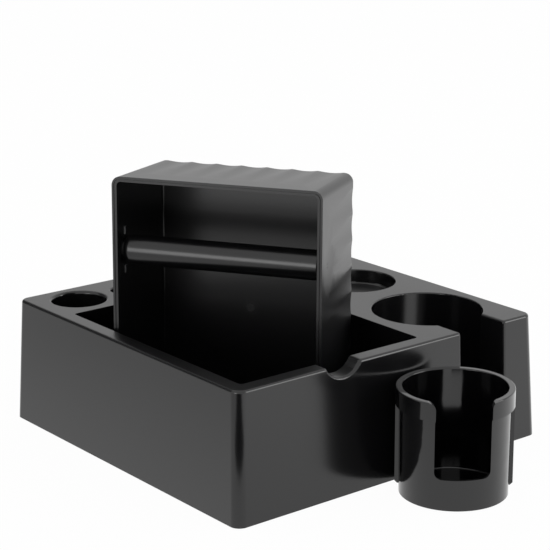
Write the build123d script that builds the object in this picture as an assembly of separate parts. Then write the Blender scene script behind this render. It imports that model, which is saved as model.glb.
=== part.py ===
"""Table caddy with a lift-out tray, a sprung roll bar and a loose cup insert.

Millimetres, +Z up. The origin is the middle of the caddy's footprint, on the
surface that it stands on. The finger notch and the mug slot face -Y.
"""
import math
import os

from build123d import *

# ---- caddy shell: a double-walled moulding that widens towards its foot
BODY_HEIGHT = 100.0
SIDE_FLARE = 4.5            # how much further out each side is at the foot
CORNER_RADIUS = 8.0
EDGE_ROUND = 2.3            # rounding along the deck's outer edge, slot and notch
SHELL_WALL = 3.0

# ---- pocket for the tray, in the corner between the -X and -Y sides
POCKET_MARGIN = 12.2        # deck left outside the pocket, along -X and -Y
POCKET_WIDTH = 168.2        # along X
POCKET_CORNER = 3.0
PLATE_THICKNESS = 3.0       # the base plate, under the pocket's floor
NOTCH_RADIUS = 17.8         # finger notch over the middle of the pocket
NOTCH_DEPTH = 9.5
NOTCH_SHOULDER = 3.0        # rounding where the notch meets the deck

# ---- wells in the deck, placed from its edges and from each other
DECK_EDGE_GAP = 10.6        # deck between the mug well and the +X edge
POCKET_WELL_GAP = 12.0      # deck between the pocket and the mug well
MUG_WELL_RADIUS = 44.0
MUG_WELL_LIP = 1.2
MUG_WELL_FROM_FRONT = 62.5  # its middle, from the -Y edge
MUG_SLOT_WIDTH = 45.2
CAN_WELL_RADIUS = 33.5
CAN_WELL_DEPTH = 12.0
CAN_WELL_LIP = 1.2
CAN_WELL_DRAFT = 1.2        # how much smaller its floor is
CAN_WELL_FILLET = 2.4
CAN_WELL_GAP = 18.7         # deck between the can well and the mug well, along Y
CAN_WELL_ASIDE = 7.9        # its middle beyond the mug well's, along X
SHAKER_WELL_RADIUS = 21.7
SHAKER_WELL_DEPTH = 50.0
SHAKER_WELL_LIP = 2.5
SHAKER_SIDE_GAP = 15.8      # deck between the shaker well and the -X edge
SHAKER_BACK_GAP = 9.8       # deck between the shaker well and the +Y edge
SHAKER_POCKET_GAP = 10.4    # deck between the shaker well and the pocket
PICK_WELL_RADIUS = 9.8
PICK_WELL_LIP = 1.5
PICK_WELL_GAP = 10.6        # deck between the pick well and the shaker well

# ---- base plate and its screws
PLATE_CLEARANCE = 0.3
SCREW_RADIUS = 1.6
SCREW_HEAD_RADIUS = 3.2
SCREW_HEAD_DEPTH = 1.7
SCREW_LENGTH = 14.0
SCREW_GAP = 0.05            # between a screw's side and the plate's hole
SCREW_RECESS = 0.4          # head below the plate's face
POST_RADIUS = 5.0           # posts under the deck that take the screws
POST_MARGIN = 9.2           # post centres, in from the foot's edge
POST_SPREAD = 100.0         # along each side, either way from its middle

# ---- tray: an open box that stands on end in the pocket
TRAY_CLEARANCE = 1.1        # all round, when it lies flat in the pocket
TRAY_BELOW_DECK = 5.5       # how far below the deck it ends, when it lies flat
TRAY_WALL = 4.0
TRAY_TAPER = 2.7            # each side's slope inward towards the back
TRAY_CORNER = 7.0
TRAY_INNER_CORNER = 3.0
TRAY_BACK_ROUND = 3.0
TRAY_INNER_BACK_ROUND = 1.5
TRAY_SIDE_GAP = 0.5         # standing: to the pocket's -X wall
TRAY_FAR_GAP = 5.0          # standing: to the pocket's +X wall
TRAY_BACK_GAP = 8.2         # standing: to the pocket's +Y wall
RIM_LINE_IN = 1.6           # fine groove round the rim, in from its outer edge
RIM_LINE_WIDTH = 0.6
RIM_LINE_DEPTH = 0.7
FLUTE_COUNT = 8             # shallow scallops across the tray's end
FLUTE_DEPTH = 1.2
FLUTE_RUN = 0.78            # share of the depth over which they fade out

# ---- roll bar across the tray
BAR_RADIUS = 11.7
BAR_FROM_RIM = 16.4
BAR_FROM_END = 59.0         # down from the tray's upper end
BAR_WALL = 2.6
BAR_END_GAP = 0.3           # between the bar's ends and the tray's collars
BAR_CAP_LENGTH = 6.0
BAR_NOSE_ROUND = 5.0        # rounding of the bar's closed end
BAR_EDGE_ROUND = 1.2        # rounding of its open end
DISH_RADIUS = 20.3          # round shallow dish outside each side wall
DISH_DEPTH = 0.8
DISH_FROM_RIM = 5.0         # the dish stops at a flat band along the rim
COLLAR_RADIUS = 8.0         # low collar inside each side wall, round the pin's hole
COLLAR_RISE = 0.6
BEAD_RADIUS = 1.6           # upright bead above and below the bar, on each side wall
BEAD_LENGTH = 5.9
BEAD_OFF_AXIS = 15.0
BEAD_FROM_RIM = 13.5
BEAD_RISE = 1.2
HOLE_SKIN = 0.9             # wall left between the pin's hole and the dish
DIMPLE_RADIUS = 0.45        # pair of small marks in the middle of each dish
DIMPLE_OFF_AXIS = 1.4
DIMPLE_DEPTH = 0.4
PIN_RADIUS = 2.5
PIN_PLAY = 0.06             # running clearance of the pins
PIN_CHAMFER = 0.6
PIN_TIP_GAP = 0.5           # between a pin's tip and the end of its hole
PLUNGER_TRAVEL = 8.0
PLUNGER_HEAD = 5.0
PLUNGER_STOP = 16.0         # depth of the spring's seat inside the plunger's head
SPRING_WIRE = 0.5           # wire radius
SPRING_TURNS = 8

# ---- cup insert: narrows the mug well; stands beside the caddy
CUP_STANDS_AT_X = 18.1
CUP_GAP = 1.4               # between its collar and the caddy's side
CUP_TURN = 34.0             # degrees: where its slot points, from -Y towards -X
CUP_CLEARANCE = 0.4         # of its collar in the mug well
CUP_HEIGHT = 81.5
CUP_WALL = 2.3
CUP_COLLAR_STEP = 2.6       # how far the collar stands out from the body
CUP_DRAFT = 0.5             # how much smaller the body is at its foot
CUP_COLLAR_HEIGHT = 13.6
CUP_COLLAR_CHAMFER = 1.0
CUP_FLOOR = 2.0
CUP_FLOOR_ROUND = 1.2       # rounding between the floor and the wall, inside
CUP_SLOT_WIDTH = 41.0
CUP_SLOT_SILL = 23.5
CUP_SLOT_CORNER = 5.0
CUP_RIB_WIDTH = 4.0
CUP_RIB_FOOT = 5.0
CUP_RIBS_AT = (-100.0, -195.0, 84.0)  # degrees from the slot's middle
CUP_EDGE_ROUND = 0.9

# ---- sizes and places that follow from the ones above
TOP_SIDE = POCKET_MARGIN + POCKET_WIDTH + POCKET_WELL_GAP + 2 * MUG_WELL_RADIUS + DECK_EDGE_GAP
HALF_TOP = TOP_SIDE / 2
SHAKER_SPACE = SHAKER_POCKET_GAP + 2 * SHAKER_WELL_RADIUS + SHAKER_BACK_GAP
POCKET_LENGTH = TOP_SIDE - POCKET_MARGIN - SHAKER_SPACE
MUG_WELL_AT = (HALF_TOP - DECK_EDGE_GAP - MUG_WELL_RADIUS, MUG_WELL_FROM_FRONT - HALF_TOP)
CAN_WELL_AT = (MUG_WELL_AT[0] + CAN_WELL_ASIDE,
               MUG_WELL_AT[1] + MUG_WELL_RADIUS + CAN_WELL_GAP + CAN_WELL_RADIUS)
SHAKER_WELL_AT = (SHAKER_SIDE_GAP + SHAKER_WELL_RADIUS - HALF_TOP,
                  HALF_TOP - SHAKER_BACK_GAP - SHAKER_WELL_RADIUS)
PICK_WELL_AT = (SHAKER_WELL_AT[0] + SHAKER_WELL_RADIUS + PICK_WELL_GAP + PICK_WELL_RADIUS,
                SHAKER_WELL_AT[1])
BASE_SIDE = TOP_SIDE + 2 * SIDE_FLARE
POCKET_FLOOR = PLATE_THICKNESS + SHELL_WALL
POCKET_LOW = (POCKET_MARGIN - HALF_TOP, POCKET_MARGIN - HALF_TOP)
POCKET_HIGH = (POCKET_LOW[0] + POCKET_WIDTH, POCKET_LOW[1] + POCKET_LENGTH)
POCKET_MIDDLE = (POCKET_LOW[0] + POCKET_WIDTH / 2, POCKET_LOW[1] + POCKET_LENGTH / 2)
MUG_WELL_DEPTH = CUP_HEIGHT + CUP_CLEARANCE
TRAY_WIDTH = POCKET_WIDTH - 2 * TRAY_CLEARANCE
TRAY_LENGTH = POCKET_LENGTH - 2 * TRAY_CLEARANCE
TRAY_DEPTH = BODY_HEIGHT - POCKET_FLOOR - TRAY_BELOW_DECK
BAR_HEIGHT = TRAY_LENGTH - BAR_FROM_END
CUP_COLLAR_RADIUS = MUG_WELL_RADIUS - CUP_CLEARANCE
PLUNGER_BORE = BAR_RADIUS - BAR_WALL
CUP_BODY_RADIUS = CUP_COLLAR_RADIUS - CUP_COLLAR_STEP
CUP_FOOT_RADIUS = CUP_BODY_RADIUS - CUP_DRAFT
COLLAR_FOOT = CUP_HEIGHT - CUP_COLLAR_HEIGHT
SIDE_AT_COLLAR = HALF_TOP + SIDE_FLARE * (1 - COLLAR_FOOT / BODY_HEIGHT)
CUP_STANDS_AT = (CUP_STANDS_AT_X, -SIDE_AT_COLLAR - CUP_GAP - CUP_COLLAR_RADIUS)
ABOVE = 10.0                # how far a cutter stands out of the face that it cuts


def upright(x, y, z, height, radius):
    """A vertical cylinder whose foot is at z."""
    return Pos(x, y, z + height / 2) * Cylinder(radius, height)


def block(low, high, z_low, z_high):
    """A box between two corners seen from above and two heights."""
    size = (high[0] - low[0], high[1] - low[1], z_high - z_low)
    middle = ((low[0] + high[0]) / 2, (low[1] + high[1]) / 2, (z_low + z_high) / 2)
    return Pos(*middle) * Box(*size)


def tapered_box(width, length, height, flare, radius):
    """A box from z = 0 up, each side leaning in by a flare, its slanted edges rounded."""
    lean = math.degrees(math.atan(flare / height))
    box = extrude(Rectangle(width, length), height, taper=lean)
    slanted = [e for e in box.edges() if e.bounding_box().size.Z > height / 2]
    return fillet(slanted, radius)


def tapered_block(inset, z_top):
    """The caddy's outside, moved in by an inset, from the foot up to z_top."""
    foot = BASE_SIDE - 2 * inset
    flare = SIDE_FLARE * z_top / BODY_HEIGHT
    return tapered_box(foot, foot, z_top, flare, CORNER_RADIUS - inset)


def well_cutter(radius, depth, lip):
    """A round well with a rounded lip, ready to cut from the deck, at the origin's X and Y."""
    profile = BuildPart()
    with profile:
        with BuildSketch(Plane.XZ):
            with BuildLine():
                Line((0, -depth), (radius, -depth))
                Line((radius, -depth), (radius, -lip))
                RadiusArc((radius, -lip), (radius + lip, 0), lip)
                Line((radius + lip, 0), (radius + lip, ABOVE))
                Line((radius + lip, ABOVE), (0, ABOVE))
                Line((0, ABOVE), (0, -depth))
            make_face()
        revolve(axis=Axis.Z)
    return Pos(0, 0, BODY_HEIGHT) * profile.part


def can_well_cutter():
    """The shallow well: sloping wall, rounded lip and a fillet round the floor."""
    floor = CAN_WELL_RADIUS - CAN_WELL_DRAFT
    profile = BuildPart()
    with profile:
        with BuildSketch(Plane.XZ):
            with BuildLine():
                Line((0, -CAN_WELL_DEPTH), (floor - CAN_WELL_FILLET, -CAN_WELL_DEPTH))
                RadiusArc((floor - CAN_WELL_FILLET, -CAN_WELL_DEPTH),
                          (floor, CAN_WELL_FILLET - CAN_WELL_DEPTH), -CAN_WELL_FILLET)
                Line((floor, CAN_WELL_FILLET - CAN_WELL_DEPTH), (CAN_WELL_RADIUS, -CAN_WELL_LIP))
                RadiusArc((CAN_WELL_RADIUS, -CAN_WELL_LIP),
                          (CAN_WELL_RADIUS + CAN_WELL_LIP, 0), CAN_WELL_LIP)
                Line((CAN_WELL_RADIUS + CAN_WELL_LIP, 0), (CAN_WELL_RADIUS + CAN_WELL_LIP, ABOVE))
                Line((CAN_WELL_RADIUS + CAN_WELL_LIP, ABOVE), (0, ABOVE))
                Line((0, ABOVE), (0, -CAN_WELL_DEPTH))
            make_face()
        revolve(axis=Axis.Z)
    return Pos(*CAN_WELL_AT, BODY_HEIGHT) * profile.part


def notch_outline(extra):
    """The finger notch seen from -Y: a round scoop below the deck, grown by an extra."""
    radius = NOTCH_RADIUS + extra
    shoulder = NOTCH_SHOULDER - extra if extra < NOTCH_SHOULDER else 0.01
    up = NOTCH_RADIUS - NOTCH_DEPTH
    reach = math.sqrt((radius + shoulder) ** 2 - (up + shoulder) ** 2)
    share = radius / (radius + shoulder)
    meet = (reach * share, up - (up + shoulder) * share)
    with BuildSketch() as outline:
        with BuildLine():
            RadiusArc((-reach, 0), (-meet[0], meet[1]), shoulder)
            ThreePointArc((-meet[0], meet[1]), (0, up - radius), meet)
            RadiusArc(meet, (reach, 0), shoulder)
            Polyline((reach, 0), (reach, ABOVE), (-reach, ABOVE), (-reach, 0))
        make_face()
    return Pos(POCKET_MIDDLE[0], BODY_HEIGHT) * outline.sketch


def extrude_y(outline, y_low, y_high):
    """Push an outline drawn in X and Z along Y."""
    plane = Plane((0, y_high, 0), x_dir=(1, 0, 0), z_dir=(0, -1, 0))
    return extrude(plane * outline, y_high - y_low)


def slot_block(grow, sill, top):
    """The handle slot from the mug well out through the -Y side, grown sideways."""
    x, y = MUG_WELL_AT
    half = MUG_SLOT_WIDTH / 2 + grow
    return block((x - half, -BASE_SIDE), (x + half, y), sill, top)


def screw_places():
    """Two screw posts along each side, in the hollow just inside the skirt."""
    edge = BASE_SIDE / 2 - POST_MARGIN
    along_side = (-POST_SPREAD, POST_SPREAD)
    by_y = [(s, y) for y in (-edge, edge) for s in along_side]
    by_x = [(x, s) for x in (-edge, edge) for s in along_side]
    return by_y + by_x


def caddy_shell():
    """Deck, outer skirt, pocket and wells in one moulding, open below for the plate."""
    well_floor = BODY_HEIGHT - MUG_WELL_DEPTH
    solid = tapered_block(0, BODY_HEIGHT)
    solid -= extrude_y(notch_outline(0), -BASE_SIDE, POCKET_LOW[1] + ABOVE)
    solid -= slot_block(0, well_floor, BODY_HEIGHT + ABOVE)
    rim = [e for e in solid.edges() if on_outer_rim(e, well_floor)]
    solid = fillet(rim, EDGE_ROUND)

    pocket = block(POCKET_LOW, POCKET_HIGH, POCKET_FLOOR, BODY_HEIGHT + ABOVE)
    pocket = fillet(pocket.edges().filter_by(Axis.Z), POCKET_CORNER)
    small = [(SHAKER_WELL_AT, SHAKER_WELL_RADIUS, SHAKER_WELL_LIP),
             (PICK_WELL_AT, PICK_WELL_RADIUS, PICK_WELL_LIP)]

    hollow = tapered_block(SHELL_WALL, BODY_HEIGHT - SHELL_WALL)
    grow = SHELL_WALL
    hollow -= block((POCKET_LOW[0] - grow, POCKET_LOW[1] - grow),
                    (POCKET_HIGH[0] + grow, POCKET_HIGH[1] + grow),
                    PLATE_THICKNESS, BODY_HEIGHT)
    for at, radius, lip in small:
        foot = BODY_HEIGHT - SHAKER_WELL_DEPTH - grow
        hollow -= upright(*at, foot, BODY_HEIGHT - foot, radius + grow)
    can_foot = BODY_HEIGHT - CAN_WELL_DEPTH - grow
    hollow -= upright(*CAN_WELL_AT, can_foot, BODY_HEIGHT - can_foot, CAN_WELL_RADIUS + grow)
    mug_foot = well_floor - grow
    hollow -= upright(*MUG_WELL_AT, mug_foot, BODY_HEIGHT - mug_foot, MUG_WELL_RADIUS + grow)
    hollow -= slot_block(grow, mug_foot, BODY_HEIGHT)
    hollow -= extrude_y(notch_outline(grow), -BASE_SIDE, POCKET_LOW[1])
    for x, y in screw_places():
        hollow -= upright(x, y, PLATE_THICKNESS, BODY_HEIGHT, POST_RADIUS)
    solid -= hollow

    solid -= pocket
    for at, radius, lip in small:
        solid -= Pos(*at, 0) * well_cutter(radius, SHAKER_WELL_DEPTH, lip)
    solid -= can_well_cutter()
    solid -= Pos(*MUG_WELL_AT, 0) * well_cutter(MUG_WELL_RADIUS, MUG_WELL_DEPTH, MUG_WELL_LIP)
    for x, y in screw_places():
        solid -= upright(x, y, 0, SCREW_LENGTH + 1, SCREW_RADIUS)
    return solid


def on_outer_rim(edge, well_floor):
    """True for the deck's outer edges, the notch's outer edge and the slot's mouth."""
    middle = edge.position_at(0.5)
    slope = SIDE_FLARE / BODY_HEIGHT
    face_at = HALF_TOP + slope * (BODY_HEIGHT - middle.Z)
    on_side = max(abs(middle.X), abs(middle.Y)) > face_at - 4 and middle.Z > well_floor + 0.1
    vertical_corner = abs(edge.bounding_box().size.Z) > BODY_HEIGHT / 2 \
        and min(abs(middle.X), abs(middle.Y)) > HALF_TOP - CORNER_RADIUS - SIDE_FLARE
    slot_top = abs(middle.Z - BODY_HEIGHT) < 0.01 \
        and abs(abs(middle.X - MUG_WELL_AT[0]) - MUG_SLOT_WIDTH / 2) < 0.01
    return (on_side and not vertical_corner) or slot_top


def base_plate():
    """Flat plate inside the foot of the skirt, with countersunk screw holes."""
    plate = tapered_block(SHELL_WALL + PLATE_CLEARANCE, PLATE_THICKNESS)
    for x, y in screw_places():
        plate -= upright(x, y, 0, PLATE_THICKNESS, SCREW_RADIUS + SCREW_GAP)
        plate -= upright(x, y, 0, SCREW_RECESS, SCREW_HEAD_RADIUS + SCREW_GAP)
        sink = Cone(SCREW_HEAD_RADIUS + SCREW_GAP, SCREW_RADIUS + SCREW_GAP, SCREW_HEAD_DEPTH)
        plate -= Pos(x, y, SCREW_RECESS + SCREW_HEAD_DEPTH / 2) * sink
    return plate


def base_screw(x, y):
    """One countersunk self-tapping screw, head down, with a crosswise drive slot."""
    head = Cone(SCREW_HEAD_RADIUS, SCREW_RADIUS, SCREW_HEAD_DEPTH)
    screw = Pos(x, y, SCREW_RECESS + SCREW_HEAD_DEPTH / 2) * head
    shank = SCREW_LENGTH - SCREW_RECESS - SCREW_HEAD_DEPTH
    screw += upright(x, y, SCREW_RECESS + SCREW_HEAD_DEPTH, shank, SCREW_RADIUS)
    for size in ((0.8, 3.6), (3.6, 0.8)):
        screw -= Pos(x, y, SCREW_RECESS) * Box(*size, 1.6)
    return screw


def tray_turn():
    """The clockwise turn, in radians, at which the standing tray spans the pocket's width."""
    across = TRAY_WIDTH - TRAY_TAPER
    span = POCKET_WIDTH - TRAY_SIDE_GAP - TRAY_FAR_GAP
    return math.atan2(TRAY_DEPTH, across) + math.acos(span / math.hypot(across, TRAY_DEPTH))


def tray_place():
    """The standing tray's frame: X across it, Y into its depth, Z up its length."""
    turn = tray_turn()
    lean = math.degrees(math.atan(TRAY_TAPER / TRAY_DEPTH))
    x = POCKET_LOW[0] + TRAY_SIDE_GAP + math.cos(turn) * TRAY_WIDTH / 2
    back_y = TRAY_DEPTH * math.cos(turn) + math.sin(turn) * (TRAY_WIDTH / 2 - TRAY_TAPER)
    y = POCKET_HIGH[1] - TRAY_BACK_GAP - back_y
    return Location((x, y, POCKET_FLOOR), (0, 0, -math.degrees(turn))) * Rotation(-lean, 0, 0)


def tray_side(at_depth):
    """Half the tray's outer width at a depth behind its rim."""
    return TRAY_WIDTH / 2 - TRAY_TAPER * at_depth / TRAY_DEPTH


def tray_box(inset, depth, radius):
    """The tray's tapering box, moved in by an inset, in the tray's own frame."""
    flare = TRAY_TAPER * depth / TRAY_DEPTH
    box = tapered_box(TRAY_WIDTH - 2 * inset, TRAY_LENGTH - 2 * inset, depth, flare, radius)
    return Pos(0, 0, TRAY_LENGTH / 2) * Rotation(-90, 0, 0) * box


def at_bar(side, inward, from_rim, height):
    """A place in a side wall, given inward from its outside, in the tray's own frame."""
    return Pos(side * (tray_side(from_rim) - inward), from_rim, height)


def cross_rod(side, outer, inner, radius, height):
    """A cylinder across a side wall, at the bar's depth, between two distances inward."""
    middle = at_bar(side, (outer + inner) / 2, BAR_FROM_RIM, height)
    return middle * Rotation(0, 90, 0) * Cylinder(radius, inner - outer)


def dish(side):
    """The shallow round dish outside a side wall, cut off at the band along the rim."""
    ball = (DISH_RADIUS ** 2 + DISH_DEPTH ** 2) / (2 * DISH_DEPTH)
    out = ball - DISH_DEPTH
    lean = math.atan(TRAY_TAPER / TRAY_DEPTH)
    x = side * (tray_side(BAR_FROM_RIM) + out * math.cos(lean))
    sphere = Pos(x, BAR_FROM_RIM + out * math.sin(lean), BAR_HEIGHT) * Sphere(ball)
    length = 2 * DISH_RADIUS
    band = at_bar(side, 0, BAR_FROM_RIM, BAR_HEIGHT) \
        * Pos(0, DISH_FROM_RIM - BAR_FROM_RIM + length / 2, 0)
    return sphere & band * Box(4 * TRAY_WALL, length, 2 * length)


def tray():
    """Open box with fluted outer walls, dishes, collars and blind holes for the bar's pins."""
    box = tray_box(0, TRAY_DEPTH, TRAY_CORNER)
    back = box.faces().sort_by(Axis.Y)[-1]
    box = fillet(back.edges(), TRAY_BACK_ROUND)
    box -= flutes()
    inside = tray_box(TRAY_WALL, TRAY_DEPTH - TRAY_WALL, TRAY_INNER_CORNER)
    inside_back = inside.faces().sort_by(Axis.Y)[-1]
    box -= fillet(inside_back.edges(), TRAY_INNER_BACK_ROUND)
    inner_line = RIM_LINE_IN + RIM_LINE_WIDTH
    box -= tray_box(RIM_LINE_IN, RIM_LINE_DEPTH, TRAY_CORNER - RIM_LINE_IN) \
        - tray_box(inner_line, RIM_LINE_DEPTH, TRAY_CORNER - inner_line)
    collar_top = TRAY_WALL + COLLAR_RISE
    for side in (-1, 1):
        box += cross_rod(side, TRAY_WALL / 2, collar_top, COLLAR_RADIUS, BAR_HEIGHT)
        box -= dish(side)
        box -= cross_rod(side, DISH_DEPTH + HOLE_SKIN, collar_top + 1, PIN_RADIUS + PIN_PLAY,
                         BAR_HEIGHT)
        for up in (-1, 1):
            height = BAR_HEIGHT + up * BEAD_OFF_AXIS
            bead = at_bar(side, TRAY_WALL + BEAD_RISE - BEAD_RADIUS, BEAD_FROM_RIM, height)
            box += bead * Cylinder(BEAD_RADIUS, BEAD_LENGTH)
            box -= cross_rod(side, -1, DISH_DEPTH + DIMPLE_DEPTH, DIMPLE_RADIUS,
                             BAR_HEIGHT + up * DIMPLE_OFF_AXIS)
    return tray_place() * box


def flutes():
    """Shallow scoops along the outer walls, deepest at the back, gone near the rim."""
    pitch = TRAY_WIDTH / FLUTE_COUNT
    radius = pitch ** 2 / (8 * FLUTE_DEPTH)
    run = TRAY_DEPTH * FLUTE_RUN
    tilt = math.degrees(math.atan(FLUTE_DEPTH / run) + math.atan(TRAY_TAPER / TRAY_DEPTH))
    half = TRAY_DEPTH / 2 + ABOVE
    middle = ABOVE - half
    cutters = []
    ends = int((TRAY_WIDTH - 2 * TRAY_CORNER) / pitch / 2)
    sides = int((TRAY_LENGTH - 2 * TRAY_CORNER) / pitch / 2)
    reach = TRAY_TAPER + FLUTE_DEPTH
    for step in range(-ends, ends + 1):
        rod = Pos(0, middle, radius) * Rotation(90, 0, 0) * Cylinder(radius, 2 * half)
        back_top = Pos(step * pitch, TRAY_DEPTH, TRAY_LENGTH - reach)
        cutters.append(back_top * Rotation(-tilt, 0, 0) * rod)
    for step in range(-sides, sides + 1):
        for side in (-1, 1):
            rod = Pos(side * radius, middle, 0) * Rotation(90, 0, 0) \
                * Cylinder(radius, 2 * half)
            back_side = Pos(side * (TRAY_WIDTH / 2 - reach), TRAY_DEPTH,
                            TRAY_LENGTH / 2 + step * pitch)
            cutters.append(back_side * Rotation(0, 0, side * tilt) * rod)
    return cutters


def bar_place():
    """The bar's frame: Z along it from the tray's -X wall to its +X wall."""
    return tray_place() * Location((0, BAR_FROM_RIM, BAR_HEIGHT)) \
        * Rotation(0, 90, 0)


BAR_HALF = tray_side(BAR_FROM_RIM) - TRAY_WALL - COLLAR_RISE - BAR_END_GAP
HOLE_DEPTH = TRAY_WALL + COLLAR_RISE - DISH_DEPTH - HOLE_SKIN
PIN_REACH = BAR_END_GAP + HOLE_DEPTH - PIN_TIP_GAP
PLUNGER_FACE = BAR_HALF - BAR_CAP_LENGTH      # where the plunger's head meets the cap


def along(z_low, z_high, radius):
    """A cylinder on the bar's own axis."""
    return Pos(0, 0, (z_low + z_high) / 2) * Cylinder(radius, z_high - z_low)


def pin(z_low, z_high, tip):
    """A pin on the bar's axis with a chamfered tip at one end, -1 low or 1 high."""
    rod = along(z_low, z_high, PIN_RADIUS)
    end = rod.faces().sort_by(Axis.Z)[-1 if tip > 0 else 0]
    return chamfer(end.edges(), PIN_CHAMFER)


def roll_bar():
    """Smooth tube with a fixed pin at one end and a bore for the plunger at the other."""
    bar = along(-BAR_HALF, BAR_HALF, BAR_RADIUS)
    bar = fillet(bar.edges().sort_by(Axis.Z)[0], BAR_NOSE_ROUND)
    bar = fillet(bar.edges().sort_by(Axis.Z)[-1], BAR_EDGE_ROUND)
    bar -= along(-BAR_HALF + BAR_CAP_LENGTH, BAR_HALF, PLUNGER_BORE)
    bar += pin(-BAR_HALF - PIN_REACH, -BAR_HALF, -1)
    seat = PLUNGER_FACE - PLUNGER_HEAD - PLUNGER_STOP - PLUNGER_TRAVEL
    bar += along(seat - BAR_WALL, seat, PLUNGER_BORE)
    return bar_place() * bar


def bar_cap():
    """Ring pressed into the tube's open end, which guides the plunger's pin."""
    ring = along(PLUNGER_FACE, BAR_HALF, PLUNGER_BORE)
    ring -= along(PLUNGER_FACE, BAR_HALF, PIN_RADIUS + PIN_PLAY)
    return bar_place() * ring


def bar_plunger():
    """Head that slides in the tube and a pin that reaches into the tray's wall."""
    head = along(PLUNGER_FACE - PLUNGER_HEAD, PLUNGER_FACE, PLUNGER_BORE - PIN_PLAY)
    return bar_place() * (head + pin(PLUNGER_FACE, BAR_HALF + PIN_REACH, 1))


def bar_spring():
    """Compression spring between the tube's inner stop and the plunger's head."""
    free = PLUNGER_STOP + PLUNGER_TRAVEL
    low = PLUNGER_FACE - PLUNGER_HEAD - free
    radius = PLUNGER_BORE - 2 * SPRING_WIRE - 2
    path = Helix((free - 2 * SPRING_WIRE) / SPRING_TURNS, free - 2 * SPRING_WIRE, radius)
    start = Plane(path @ 0, z_dir=path % 0)
    coil = sweep(start * Circle(SPRING_WIRE), path=path)
    return bar_place() * Pos(0, 0, low + SPRING_WIRE) * coil


def cup_insert():
    """Slotted cup with a collar and ribs; its collar fills the top of the mug well."""
    profile = BuildPart()
    inner = CUP_BODY_RADIUS - CUP_WALL
    inner_foot = CUP_FOOT_RADIUS - CUP_WALL
    with profile:
        with BuildSketch(Plane.XZ):
            with BuildLine():
                Polyline((CUP_FOOT_RADIUS, 0), (CUP_BODY_RADIUS, COLLAR_FOOT - CUP_COLLAR_CHAMFER),
                         (CUP_COLLAR_RADIUS, COLLAR_FOOT), (CUP_COLLAR_RADIUS, CUP_HEIGHT),
                         (inner, CUP_HEIGHT), (inner_foot, CUP_FLOOR), (0, CUP_FLOOR), (0, 0),
                         (CUP_FOOT_RADIUS, 0))
            make_face()
        revolve(axis=Axis.Z)
    cup = profile.part
    top = cup.faces().filter_by(Plane.XY).sort_by(Axis.Z)[-1]
    cup = fillet(top.edges(), CUP_EDGE_ROUND)
    floor = cup.faces().filter_by(Plane.XY).sort_by(Axis.Z)[1]
    cup = fillet(floor.edges(), CUP_FLOOR_ROUND)
    rib_top = COLLAR_FOOT - CUP_COLLAR_CHAMFER / 2
    rib = block((CUP_FOOT_RADIUS - 1, -CUP_RIB_WIDTH / 2),
                (CUP_COLLAR_RADIUS - 0.2, CUP_RIB_WIDTH / 2), CUP_RIB_FOOT, rib_top)
    rib = chamfer(rib.edges().filter_by(Axis.Y).sort_by(Axis.Z)[:2].sort_by(Axis.X)[-1], 2.0)
    for turn in CUP_RIBS_AT:
        cup += Rotation(0, 0, turn - 90) * rib
    cup -= cup_slot()
    return Location((*CUP_STANDS_AT, 0), (0, 0, -CUP_TURN)) * cup


def cup_slot():
    """The handle slot's cutter: round-cornered below, flared where it leaves the rim."""
    half = CUP_SLOT_WIDTH / 2
    top = CUP_HEIGHT
    opening = Pos(0, (CUP_SLOT_SILL + top + ABOVE) / 2) \
        * Rectangle(2 * half, top + ABOVE - CUP_SLOT_SILL)
    opening = fillet(opening.vertices().group_by(Axis.Y)[0], CUP_SLOT_CORNER)
    above = Pos(0, top + ABOVE / 2) * Rectangle(4 * half, ABOVE)
    outline = opening + above
    corners = [v for v in outline.vertices() if abs(v.Y - top) < 0.01 and abs(v.X) < half + 1]
    return extrude_y(fillet(corners, CUP_SLOT_CORNER), -2 * CUP_COLLAR_RADIUS, 0)


def write(name, shape):
    """Save one node as parts/NAME.step."""
    export_step(shape, os.path.join("parts", name + ".step"))


os.makedirs("parts", exist_ok=True)
write("caddy_shell", caddy_shell())
write("base_plate", base_plate())
write("base_screws", Compound([base_screw(x, y) for x, y in screw_places()]))
write("tray", tray())
write("roll_bar", roll_bar())
write("bar_cap", bar_cap())
write("bar_plunger", bar_plunger())
write("bar_spring", bar_spring())
write("cup_insert", cup_insert())
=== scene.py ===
import math

import bmesh
import bpy
from mathutils import Matrix, Vector


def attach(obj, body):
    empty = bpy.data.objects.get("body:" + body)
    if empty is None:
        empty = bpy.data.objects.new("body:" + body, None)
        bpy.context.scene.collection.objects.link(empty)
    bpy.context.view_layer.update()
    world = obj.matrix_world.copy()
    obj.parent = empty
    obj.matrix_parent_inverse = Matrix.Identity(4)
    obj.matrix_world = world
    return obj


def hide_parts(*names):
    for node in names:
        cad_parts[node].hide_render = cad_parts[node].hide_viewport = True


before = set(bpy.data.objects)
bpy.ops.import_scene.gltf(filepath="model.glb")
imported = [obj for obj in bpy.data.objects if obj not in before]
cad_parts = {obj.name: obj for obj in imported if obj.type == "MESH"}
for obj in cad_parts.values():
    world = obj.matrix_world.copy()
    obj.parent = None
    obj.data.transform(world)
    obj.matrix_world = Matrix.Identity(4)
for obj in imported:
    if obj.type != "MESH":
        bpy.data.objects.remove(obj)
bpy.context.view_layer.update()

# ---------------------------------------------------------------- caddy shell
# The square caddy: one thick-walled injection moulding in black ABS, spark-eroded
# to a fine satin grain. The deck catches the light more than the sides do.
# The wells, the handle slot and the finger notch are moulded in.

DOUBLES_WITHIN = 1e-6              # metres between two corners that are one
LARGE_FACES_ONLY = 100             # weight: the largest faces set the shading
ABS_IOR = 1.53
MIX_DARK, MIX_PALE, MIX_RESULT = 6, 7, 2    # the Mix node's sockets for colours

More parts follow.
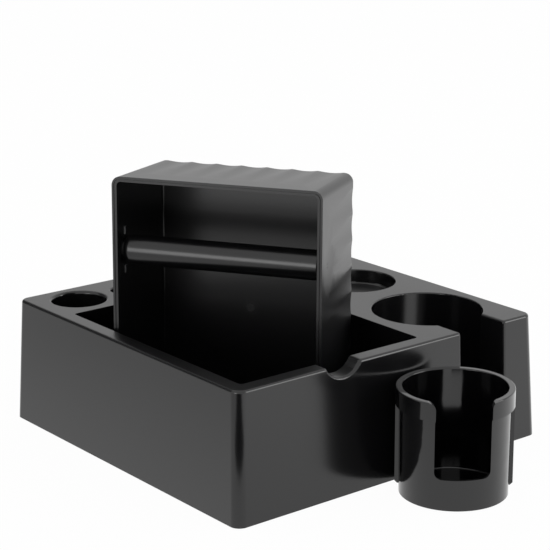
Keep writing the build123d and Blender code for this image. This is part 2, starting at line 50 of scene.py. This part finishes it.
SHELL_EDGE_ANGLE = math.radians(38)
SHELL_GRAINS = 1400.0              # in a metre, 0.7 mm each
SHELL_CLOUDS = 9.0                 # in a metre, 110 mm each
SIDE_SLOPE, DECK_SLOPE = 0.6, 0.98     # upward share of the direction a face looks
SIDE_ROUGHNESS, DECK_ROUGHNESS = 0.15, 0.34
CLOUD_ROUGHNESS = 0.05
SHELL_RELIEF = 0.12
GRAIN_DEPTH = 0.0001               # metres


def linear(hex_colour):
    """An sRGB hex colour as linear RGBA."""
    parts = [int(hex_colour[i:i + 2], 16) / 255 for i in (1, 3, 5)]
    flat = [c / 12.92 if c <= 0.04045 else ((c + 0.055) / 1.055) ** 2.4 for c in parts]
    return (*flat, 1.0)


def add(tree, kind, links=(), **settings):
    """One node, with its settings, and links given as (input, output socket)."""
    node = tree.nodes.new(kind)
    for name, value in settings.items():
        if hasattr(node, name):
            setattr(node, name, value)
        else:
            node.inputs[name.replace("_", " ")].default_value = value
    for socket, source in links:
        tree.links.new(source, node.inputs[socket])
    return node


def new_material(name):
    """An empty node material, its node tree, and the object coordinates."""
    material = bpy.data.materials.new(name)
    material.use_nodes = True
    tree = material.node_tree
    tree.nodes.clear()
    place = add(tree, "ShaderNodeTexCoord").outputs["Object"]
    return material, tree, place


def finish_material(tree, shader, bump):
    """Join a shader to the material's output, with its bump."""
    tree.links.new(bump.outputs["Normal"], shader.inputs["Normal"])
    add(tree, "ShaderNodeOutputMaterial", [("Surface", shader.outputs[0])])


def new_object(name, data):
    """A new object in the scene, at the origin."""
    piece = bpy.data.objects.new(name, data)
    bpy.context.scene.collection.objects.link(piece)
    return piece


def merged_copy(node, name, edge_angle):
    """A CAD node's shape as a new piece: doubles merged, flat faces kept flat."""
    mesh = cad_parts[node].data.copy()
    mesh.name = name
    shape = bmesh.new()
    shape.from_mesh(mesh)
    bmesh.ops.remove_doubles(shape, verts=shape.verts, dist=DOUBLES_WITHIN)
    for edge in shape.edges:
        edge.smooth = len(edge.link_faces) == 2 and edge.calc_face_angle(0) < edge_angle
    for face in shape.faces:
        face.smooth = True
    shape.to_mesh(mesh)
    shape.free()
    piece = new_object(name, mesh)
    weighted = piece.modifiers.new("flat faces", "WEIGHTED_NORMAL")
    weighted.keep_sharp = True
    weighted.weight = LARGE_FACES_ONLY
    return piece


def dress(piece, material):
    """Give a piece one material, in place of what it had."""
    piece.data.materials.clear()
    piece.data.materials.append(material)


def moulded_abs():
    """Moulded ABS with a spark-eroded grain, drawn coarse enough to show.

    The grain spreads each reflection, and more on the deck than on the sides.
    """
    material, tree, place = new_material("moulded ABS, satin grain")
    grain = add(tree, "ShaderNodeTexNoise", [("Vector", place)], Scale=SHELL_GRAINS, Detail=3.0)
    cloud = add(tree, "ShaderNodeTexNoise", [("Vector", place)], Scale=SHELL_CLOUDS, Detail=2.0)
    facing = add(tree, "ShaderNodeNewGeometry")
    split = add(tree, "ShaderNodeSeparateXYZ", [("Vector", facing.outputs["Normal"])])
    deck = add(tree, "ShaderNodeMapRange", [("Value", split.outputs["Z"])],
               From_Min=SIDE_SLOPE, From_Max=DECK_SLOPE)
    rough = add(tree, "ShaderNodeMapRange", [("Value", deck.outputs["Result"])],
                To_Min=SIDE_ROUGHNESS, To_Max=DECK_ROUGHNESS)
    clouded = add(tree, "ShaderNodeMath", [(0, cloud.outputs["Fac"]),
                                           (2, rough.outputs["Result"])],
                  operation="MULTIPLY_ADD")
    clouded.inputs[1].default_value = CLOUD_ROUGHNESS
    tone = add(tree, "ShaderNodeMix", [("Factor", cloud.outputs["Fac"])], data_type="RGBA")
    tone.inputs[MIX_DARK].default_value = linear("#0a0a0b")
    tone.inputs[MIX_PALE].default_value = linear("#101011")
    shader = add(tree, "ShaderNodeBsdfPrincipled", [("Base Color", tone.outputs[MIX_RESULT]),
                                                    ("Roughness", clouded.outputs[0])],
                 IOR=ABS_IOR)
    bump = add(tree, "ShaderNodeBump", [("Height", grain.outputs["Fac"])],
               Strength=SHELL_RELIEF, Distance=GRAIN_DEPTH)
    finish_material(tree, shader, bump)
    return material


caddy = merged_copy("caddy_shell", "caddy_shell_moulding", SHELL_EDGE_ANGLE)
dress(caddy, moulded_abs())
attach(caddy, "caddy")
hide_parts("caddy_shell")

# ----------------------------------------------------------- base plate, screws
# A flat moulded plate closes the caddy's underside. Zinc-plated self-tapping
# screws hold it from below, sunk flush in countersinks.

BELOW_EDGE_ANGLE = math.radians(30)


def even_finish(name, colour, marks, detail, roughness, relief, depth, **kind):
    """A one-colour material whose roughness and relief follow the same marks.

    The marks are counted in a metre, the roughness goes from the first value to
    the second, and the relief's depth is in metres.
    """
    material, tree, place = new_material(name)
    noise = add(tree, "ShaderNodeTexNoise", [("Vector", place)], Scale=marks, Detail=detail)
    rough = add(tree, "ShaderNodeMapRange", [("Value", noise.outputs["Fac"])],
                To_Min=roughness[0], To_Max=roughness[1])
    shader = add(tree, "ShaderNodeBsdfPrincipled", [("Roughness", rough.outputs["Result"])],
                 Base_Color=linear(colour), **kind)
    bump = add(tree, "ShaderNodeBump", [("Height", noise.outputs["Fac"])],
               Strength=relief, Distance=depth)
    finish_material(tree, shader, bump)
    return material


def moulded_plate():
    """The same ABS without the grain, with faint flow marks about 25 mm long."""
    return even_finish("moulded ABS, plain", colour="#1c1c1d", marks=40.0, detail=4.0,
                       roughness=(0.34, 0.5), relief=0.1, depth=0.0002, IOR=ABS_IOR)


def zinc_plate():
    """Bright zinc on steel: a pale metal with a slight mottle of about 1 mm."""
    return even_finish("zinc-plated steel", colour="#b9bcc0", marks=900.0, detail=3.0,
                       roughness=(0.22, 0.38), relief=0.15, depth=0.00005, Metallic=1.0)


for node, material, slot in (("base_plate", moulded_plate(), "plate_plastic"),
                             ("base_screws", zinc_plate(), "screw_steel")):
    below = merged_copy(node, node + "_piece", BELOW_EDGE_ANGLE)
    dress(below, material)
    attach(below, "caddy")
    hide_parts(node)

# ----------------------------------------------------------------------- tray
# An open box in black ABS that stands on its end in the pocket. Outside it is
# scalloped and matte; the inside has a satin face with a faint gate mark. Blind
# holes in its side walls take the pins of the bar.

TRAY_EDGE_ANGLE = math.radians(30)
TRAY_MIDDLE = (-0.0495, -0.017, 0.1125)
TRAY_FORWARD = (-0.8411, -0.54, 0.0305)    # the direction that the open side looks
WALL_TURN, RIM_TURN = 0.3, 0.6     # forward share of the direction a face looks
FINISH_BLEND = 0.01                # metres, each way between inside and outside
TRAY_GRAINS = 1100.0               # in a metre, 0.9 mm each
TRAY_CLOUDS = 12.0                 # in a metre, 80 mm each
INSIDE_ROUGHNESS, OUTSIDE_ROUGHNESS = 0.24, 0.33
INSIDE_IOR, OUTSIDE_IOR = 1.56, 1.41       # matched to the brightness of each face
GATE_MARK = (-0.0156, 0.0075, 0.0999)
GATE_MARK_CORE, GATE_MARK_REACH = 0.001, 0.006
GATE_MARK_ROUGHNESS = 0.06
TRAY_RELIEF = 0.08


def tray_abs():
    """Moulded ABS: matte outside, satin inside, with the gate mark on the back wall.

    Inside is told from outside by the direction that a face looks, seen from
    the middle of the box. The rim, which looks forward, has the inside's face.
    The grain is drawn coarse enough to show.
    """
    material, tree, place = new_material("moulded ABS, matte and satin")
    grain = add(tree, "ShaderNodeTexNoise", [("Vector", place)], Scale=TRAY_GRAINS, Detail=4.0)
    cloud = add(tree, "ShaderNodeTexNoise", [("Vector", place)], Scale=TRAY_CLOUDS, Detail=2.0)
    facing = add(tree, "ShaderNodeNewGeometry")
    centred = add(tree, "ShaderNodeVectorMath", [(0, place)], operation="SUBTRACT")
    centred.inputs[1].default_value = TRAY_MIDDLE
    outward = add(tree, "ShaderNodeVectorMath", [(0, centred.outputs[0]),
                                                 (1, facing.outputs["Normal"])],
                  operation="DOT_PRODUCT")
    turned = add(tree, "ShaderNodeVectorMath", [(0, facing.outputs["Normal"])],
                 operation="DOT_PRODUCT")
    turned.inputs[1].default_value = TRAY_FORWARD
    side = add(tree, "ShaderNodeMapRange", [("Value", turned.outputs["Value"])],
               From_Min=WALL_TURN, From_Max=RIM_TURN, To_Min=1.0, To_Max=0.0)
    outer = add(tree, "ShaderNodeMapRange", [("Value", outward.outputs["Value"])],
                From_Min=-FINISH_BLEND, From_Max=FINISH_BLEND)
    outside = add(tree, "ShaderNodeMath", [(0, outer.outputs["Result"]),
                                           (1, side.outputs["Result"])], operation="MULTIPLY")
    rough = add(tree, "ShaderNodeMapRange", [("Value", outside.outputs[0])],
                To_Min=INSIDE_ROUGHNESS, To_Max=OUTSIDE_ROUGHNESS)
    gate = add(tree, "ShaderNodeVectorMath", [(0, place)], operation="DISTANCE")
    gate.inputs[1].default_value = GATE_MARK
    mark = add(tree, "ShaderNodeMapRange", [("Value", gate.outputs["Value"])],
               From_Min=GATE_MARK_CORE, From_Max=GATE_MARK_REACH,
               To_Min=GATE_MARK_ROUGHNESS, To_Max=0.0)
    marked = add(tree, "ShaderNodeMath", [(0, rough.outputs["Result"]),
                                          (1, mark.outputs["Result"])], operation="ADD")
    gloss = add(tree, "ShaderNodeMapRange", [("Value", outside.outputs[0])],
                To_Min=INSIDE_IOR, To_Max=OUTSIDE_IOR)
    tone = add(tree, "ShaderNodeMix", [("Factor", cloud.outputs["Fac"])], data_type="RGBA")
    tone.inputs[MIX_DARK].default_value = linear("#0b0b0c")
    tone.inputs[MIX_PALE].default_value = linear("#111112")
    shader = add(tree, "ShaderNodeBsdfPrincipled", [("Base Color", tone.outputs[MIX_RESULT]),
                                                    ("Roughness", marked.outputs[0]),
                                                    ("IOR", gloss.outputs["Result"])])
    bump = add(tree, "ShaderNodeBump", [("Height", grain.outputs["Fac"])],
               Strength=TRAY_RELIEF, Distance=GRAIN_DEPTH)
    finish_material(tree, shader, bump)
    return material


tray = merged_copy("tray", "tray_moulding", TRAY_EDGE_ANGLE)
dress(tray, tray_abs())
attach(tray, "tray")
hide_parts("tray")

# ------------------------------------------------------------------- roll bar
# A smooth satin plastic tube across the tray. One end has a fixed pin; in the
# other a pressed-in ring guides a sprung plunger, so the bar comes out.

BAR_EDGE_ANGLE = math.radians(35)


def satin_abs():
    """Moulded ABS with a soft sheen that varies a little, every 11 mm or so."""
    return even_finish("moulded ABS, soft sheen", colour="#0b0b0c", marks=90.0, detail=3.0,
                       roughness=(0.20, 0.28), relief=0.05, depth=0.0003, IOR=ABS_IOR)


sheen = satin_abs()
for node in ("roll_bar", "bar_cap", "bar_plunger"):
    rod = merged_copy(node, node + "_piece", BAR_EDGE_ANGLE)
    dress(rod, sheen)
    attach(rod, "bar_plunger" if node == "bar_plunger" else "roll_bar")
    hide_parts(node)

# --------------------------------------------------------------------- spring
# The plunger's compression spring, drawn steel wire, hidden inside the bar.
# The CAD's own coil is shown as it is, with the wire's finish.


def spring_wire():
    """Drawn steel: a grey metal with a fine mottle of about 1.4 mm."""
    return even_finish("drawn steel wire", colour="#8d9095", marks=700.0, detail=2.0,
                       roughness=(0.25, 0.4), relief=0.1, depth=0.00005, Metallic=1.0)


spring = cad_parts["bar_spring"]
dress(spring, spring_wire())

# ----------------------------------------------------------------- cup insert
# A loose slotted cup in high-gloss black ABS that narrows the mug well. The
# collar fills the well's mouth, and the ribs keep its wall off the well's side.

CUP_EDGE_ANGLE = math.radians(35)


def polished_abs():
    """Moulded ABS from a polished tool: high gloss, with the faintest waviness."""
    return even_finish("moulded ABS, high gloss", colour="#070708", marks=60.0, detail=2.0,
                       roughness=(0.07, 0.13), relief=0.05, depth=0.0004, IOR=ABS_IOR)


cup = merged_copy("cup_insert", "cup_insert_moulding", CUP_EDGE_ANGLE)
dress(cup, polished_abs())
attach(cup, "cup_insert")
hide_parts("cup_insert")

# ---------------------------------------------------------------- floor, light
# A plain pale floor that runs into a pale studio, and two low soft lights, on the
# left and on the right. In reflections the floor carries painted light, brighter
# on the right and darker on the left. A grey card at the back and a black one on
# the floor are painted shade, seen only in reflections.

WHITE = (1.0, 1.0, 1.0, 1.0)
FLOOR_SIDE = 12.0                  # metres
FLOOR_OWN_LIGHT = 0.97             # share of the floor's white that it gives off itself
# Painted light and shade in reflections: the floor is brighter on the right and darker on the
# left.
GLOW_FROM, GLOW_TO = -0.7, 0.5     # metres across the floor, from left to right
GLOW_LEAST, GLOW_MOST = -0.24, 0.3     # added to the floor's white in reflections
SKY_LIGHT, SKY_SEEN = 0.8, 1.0     # the studio's strength as light, and as seen


def seen_directly(tree):
    """The light path, and 1 for the camera's rays and for reflections."""
    ray = add(tree, "ShaderNodeLightPath")
    seen = add(tree, "ShaderNodeMath", [(0, ray.outputs["Is Camera Ray"]),
                                        (1, ray.outputs["Is Glossy Ray"])], operation="ADD")
    return ray, seen.outputs[0]


def flat_sheet(name, size, placed):
    """A flat rectangle of one face, with its place in its mesh."""
    shape = bmesh.new()
    bmesh.ops.create_grid(shape, x_segments=1, y_segments=1, size=0.5)
    bmesh.ops.transform(shape, verts=shape.verts,
                        matrix=placed @ Matrix.Diagonal((*size, 1.0, 1.0)))
    mesh = bpy.data.meshes.new(name)
    shape.to_mesh(mesh)
    shape.free()
    return new_object(name, mesh)


def painted_floor():
    """White paint that gives off most of its light itself, so shadows hardly show."""
    material, tree, place = new_material("painted floor")
    paint = add(tree, "ShaderNodeBsdfDiffuse", Color=linear("#f2f2f2"))
    split = add(tree, "ShaderNodeSeparateXYZ", [("Vector", place)])
    across = add(tree, "ShaderNodeMath", [(0, split.outputs["X"]), (1, split.outputs["Y"])],
                 operation="SUBTRACT")
    # painted light in reflections, brighter on the right and darker on the left
    glow = add(tree, "ShaderNodeMapRange", [("Value", across.outputs[0])],
               From_Min=GLOW_FROM, From_Max=GLOW_TO, To_Min=GLOW_LEAST, To_Max=GLOW_MOST)
    ray, seen = seen_directly(tree)
    strength = add(tree, "ShaderNodeMath", [(0, glow.outputs["Result"]),
                                            (1, ray.outputs["Is Glossy Ray"])],
                   operation="MULTIPLY_ADD")
    strength.inputs[2].default_value = 1.0
    own_light = add(tree, "ShaderNodeEmission", [("Strength", strength.outputs[0])], Color=WHITE)
    share = add(tree, "ShaderNodeMath", [(0, seen)], operation="MULTIPLY")
    share.inputs[1].default_value = FLOOR_OWN_LIGHT
    mixed = add(tree, "ShaderNodeMixShader", [(0, share.outputs[0]), (1, paint.outputs[0]),
                                              (2, own_light.outputs[0])])
    add(tree, "ShaderNodeOutputMaterial", [("Surface", mixed.outputs[0])])
    return material


floor = flat_sheet("floor", (FLOOR_SIDE, FLOOR_SIDE), Matrix.Identity(4))
dress(floor, painted_floor())

world = bpy.data.worlds.new("studio")
bpy.context.scene.world = world
world.use_nodes = True
studio = world.node_tree
studio.nodes.clear()
strength = add(studio, "ShaderNodeMapRange", [("Value", seen_directly(studio)[1])],
               To_Min=SKY_LIGHT, To_Max=SKY_SEEN)
sky = add(studio, "ShaderNodeBackground", [("Strength", strength.outputs["Result"])], Color=WHITE)
add(studio, "ShaderNodeOutputWorld", [("Surface", sky.outputs[0])])


def soft_light(name, place, target, size, power):
    """A square area light that looks at a point."""
    lamp = bpy.data.lights.new(name, "AREA")
    lamp.size = size
    lamp.energy = power
    light = new_object(name, lamp)
    light.location = place
    light.rotation_euler = (Vector(target) - Vector(place)).to_track_quat("-Z", "Y").to_euler()


def card(name, size, middle, turn, colour):
    """A flat card that only shows in reflections, as painted shade there."""
    piece = flat_sheet(name, size, Matrix.Translation(middle) @ turn)
    material, tree, place = new_material(name)
    nap = add(tree, "ShaderNodeTexNoise", [("Vector", place)], Scale=500.0)
    paper = add(tree, "ShaderNodeBsdfDiffuse", [("Roughness", nap.outputs["Fac"])],
                Color=linear(colour))
    add(tree, "ShaderNodeOutputMaterial", [("Surface", paper.outputs[0])])
    dress(piece, material)
    piece.visible_camera = False
    piece.visible_diffuse = False
    piece.visible_shadow = False


# Painted shade in reflections: a black card on the floor and a grey card at the back darken the
# rounded edges.
card("black painted-shade card on the floor", size=(0.36, 1.0), middle=(-0.55, -0.64, 0.002),
     turn=Matrix.Rotation(math.radians(-39.1), 4, "Z"), colour="#0a0a0a")
card("grey painted-shade card at the back", size=(2.1, 1.65), middle=(-0.75, 1.5, 0.875),
     turn=Matrix.Rotation(math.radians(90), 4, "X"), colour="#808080")
soft_light("left soft box", place=(-2.0, -0.55, 0.35), target=(0, 0, 0.15), size=0.9, power=8.0)
soft_light("right fill", place=(1.4, -1.6, 0.7), target=(0, 0, 0.05), size=1.0, power=12.0)

# --------------------------------------------------------------------- camera
# The photograph's viewpoint: it looks from about 39 degrees round from the front
# and 16 up, through a long lens, with the picture shifted a little.

CAMERA_PLACE = (-0.8665, -1.0989, 0.5271)
CAMERA_RIGHT = Vector((0.7756, -0.6312, -0.0011))
CAMERA_UP = Vector((0.1752, 0.2136, 0.9611))

lens = bpy.data.cameras.new("camera")
lens.sensor_width = 36.0
lens.lens = 120.41
lens.shift_x = -0.0426
lens.shift_y = 0.0016
lens.clip_end = 50.0
camera = new_object("camera", lens)
turn = Matrix((CAMERA_RIGHT, CAMERA_UP, CAMERA_RIGHT.cross(CAMERA_UP))).transposed()
camera.matrix_world = Matrix.Translation(CAMERA_PLACE) @ turn.to_4x4()
bpy.context.scene.camera = camera
bpy.context.scene.view_settings.view_transform = "Standard"
